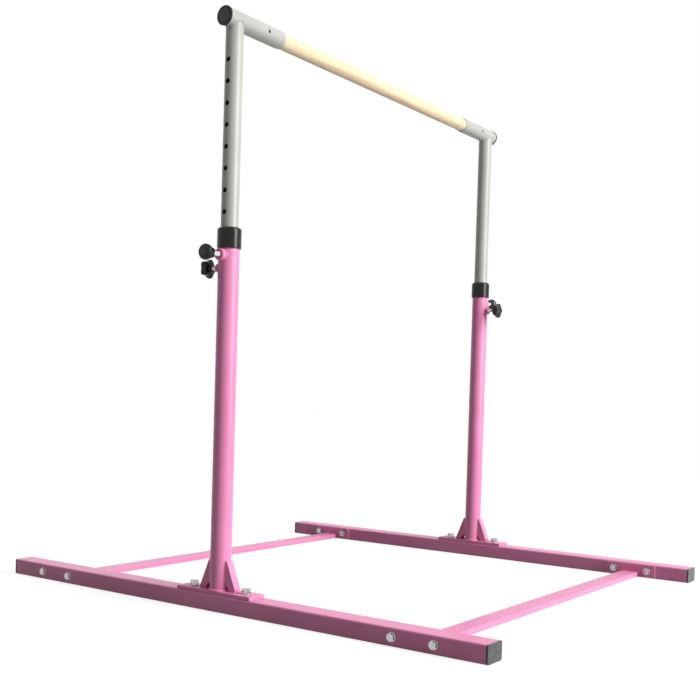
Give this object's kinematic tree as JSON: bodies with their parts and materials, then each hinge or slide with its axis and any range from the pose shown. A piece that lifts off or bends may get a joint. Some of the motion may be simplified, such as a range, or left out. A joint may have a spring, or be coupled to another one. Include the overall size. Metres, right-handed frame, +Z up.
{
  "type": "gymnastics horizontal bar",
  "caption": "Low height-adjustable gymnastics bar: a wooden grip bar on two telescopic uprights with pull pins and clamp knobs, on a bolted floor frame.",
  "frame": {"origin": "middle of the footprint, on the floor", "axes": "+X along the grip bar, +Y along the floor rails, +Z up"},
  "size_m": [1.416, 1.44, 1.398],
  "materials": {
    "pink_powder_coat": "glossy pink powder coat on steel tube",
    "silver_paint": "satin silver-grey paint on steel tube",
    "black_plastic": "moulded black plastic",
    "zinc_steel": "bright zinc plating",
    "chrome_steel": "polished",
    "beech_wood": "smooth pale wood, clear lacquer"
  },
  "bodies": {
    "floor_frame": {"base_rail_left": "pink_powder_coat", "base_rail_right": "pink_powder_coat", "cross_tube_front": "pink_powder_coat", "cross_tube_back": "pink_powder_coat", "cross_plate_left_front": "pink_powder_coat", "cross_plate_left_back": "pink_powder_coat", "cross_plate_right_front": "pink_powder_coat", "cross_plate_right_back": "pink_powder_coat", "foot_flange_left": "pink_powder_coat", "foot_flange_right": "pink_powder_coat", "gusset_left_front": "pink_powder_coat", "gusset_left_back": "pink_powder_coat", "gusset_right_front": "pink_powder_coat", "gusset_right_back": "pink_powder_coat", "lower_post_left": "pink_powder_coat", "lower_post_right": "pink_powder_coat", "pin_boss_left": "pink_powder_coat", "clamp_boss_left": "pink_powder_coat", "pin_boss_right": "pink_powder_coat", "clamp_boss_right": "pink_powder_coat", "rail_cap_left_front": "black_plastic", "rail_cap_left_back": "black_plastic", "rail_cap_right_front": "black_plastic", "rail_cap_right_back": "black_plastic", "collar_left": "black_plastic", "collar_right": "black_plastic", "plate_bolt_left_front_outer": "zinc_steel", "plate_bolt_left_front_inner": "zinc_steel", "plate_bolt_left_back_outer": "zinc_steel", "plate_bolt_left_back_inner": "zinc_steel", "plate_bolt_right_front_outer": "zinc_steel", "plate_bolt_right_front_inner": "zinc_steel", "plate_bolt_right_back_outer": "zinc_steel", "plate_bolt_right_back_inner": "zinc_steel", "foot_bolt_left_front": "zinc_steel", "foot_bolt_left_back": "zinc_steel", "foot_bolt_right_front": "zinc_steel", "foot_bolt_right_back": "zinc_steel", "pin_barrel_left": "chrome_steel", "pin_barrel_right": "chrome_steel"},
    "bar_frame": {"wood_bar": "beech_wood", "upper_tube_left": "silver_paint", "bar_socket_left": "silver_paint", "socket_cap_left": "black_plastic", "set_screw_left": "zinc_steel", "upper_tube_right": "silver_paint", "bar_socket_right": "silver_paint", "socket_cap_right": "black_plastic", "set_screw_right": "zinc_steel"},
    "pin_left": {"pull_pin_left": "zinc_steel", "pin_knob_left": "black_plastic"},
    "pad_left": {"clamp_pad_left": "zinc_steel"},
    "clamp_left": {"clamp_screw_left": "zinc_steel", "star_knob_left": "black_plastic"},
    "pin_right": {"pull_pin_right": "zinc_steel", "pin_knob_right": "black_plastic"},
    "pad_right": {"clamp_pad_right": "zinc_steel"},
    "clamp_right": {"clamp_screw_right": "zinc_steel", "star_knob_right": "black_plastic"}
  },
  "joints": [
    {"name": "height_slide", "type": "slide", "parent": "floor_frame", "child": "bar_frame", "axis": [0, 0, 1], "range_m": [-0.45, 0.15]},
    {"name": "pin_left_pull", "type": "slide", "parent": "floor_frame", "child": "pin_left", "axis": [-1, 0, 0], "range_m": [-0.007, 0.007], "stiffness_N_per_m": 900},
    {"name": "clamp_left_travel", "type": "slide", "parent": "floor_frame", "child": "pad_left", "axis": [0, 1, 0], "range_m": [0, 0.003]},
    {"name": "clamp_left_turn", "type": "hinge", "parent": "pad_left", "child": "clamp_left", "pos_m": [-0.62, 0, 0.803], "axis": [0, 1, 0], "range_deg": [0, 719]},
    {"name": "pin_right_pull", "type": "slide", "parent": "floor_frame", "child": "pin_right", "axis": [1, 0, 0], "range_m": [-0.007, 0.007], "stiffness_N_per_m": 900},
    {"name": "clamp_right_travel", "type": "slide", "parent": "floor_frame", "child": "pad_right", "axis": [0, -1, 0], "range_m": [0, 0.003]},
    {"name": "clamp_right_turn", "type": "hinge", "parent": "pad_right", "child": "clamp_right", "pos_m": [0.62, 0, 0.803], "axis": [0, -1, 0], "range_deg": [0, 719]}
  ],
  "couplings": [
    {"joint": "clamp_left_travel", "follows": "clamp_left_turn", "m_per_rad": 0.00023873},
    {"joint": "clamp_right_travel", "follows": "clamp_right_turn", "m_per_rad": 0.00023873}
  ]
}
